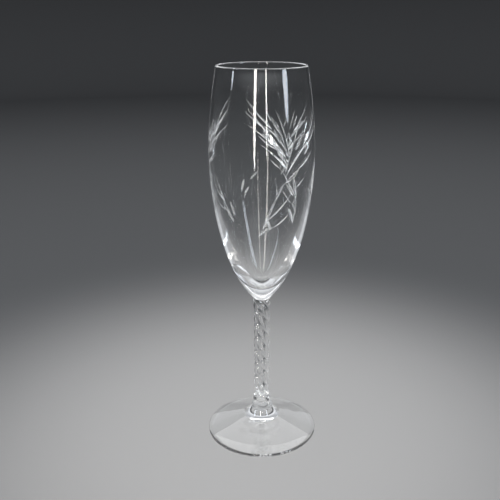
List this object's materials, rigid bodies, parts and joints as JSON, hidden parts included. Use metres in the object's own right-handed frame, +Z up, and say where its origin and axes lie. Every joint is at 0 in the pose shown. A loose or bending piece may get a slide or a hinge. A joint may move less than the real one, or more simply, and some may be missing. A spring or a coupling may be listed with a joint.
{
  "type": "champagne flute",
  "caption": "Cut-crystal champagne flute: a tall tapered bowl on a stem of twisted flutes, a short collar and a low conical foot that is hollow underneath.",
  "frame": {"origin": "on the table, under the centre of the foot", "axes": "+Z up along the axis of the glass, from the foot to the mouth; -Y towards a viewer who sees one cut spray a little right of the middle, and +X to that viewer's right"},
  "size_m": [0.0648, 0.0648, 0.215],
  "materials": {
    "blown_crystal": "fire-polished clear crystal with sprays of V-shaped cuts left slightly satin",
    "drawn_crystal": "polished clear crystal, drawn and twisted",
    "pressed_crystal": "polished clear crystal with soft tool marks"
  },
  "bodies": {
    "root": {"bowl": "blown_crystal", "stem": "drawn_crystal", "collar": "pressed_crystal", "foot": "pressed_crystal"}
  },
  "joints": []
}
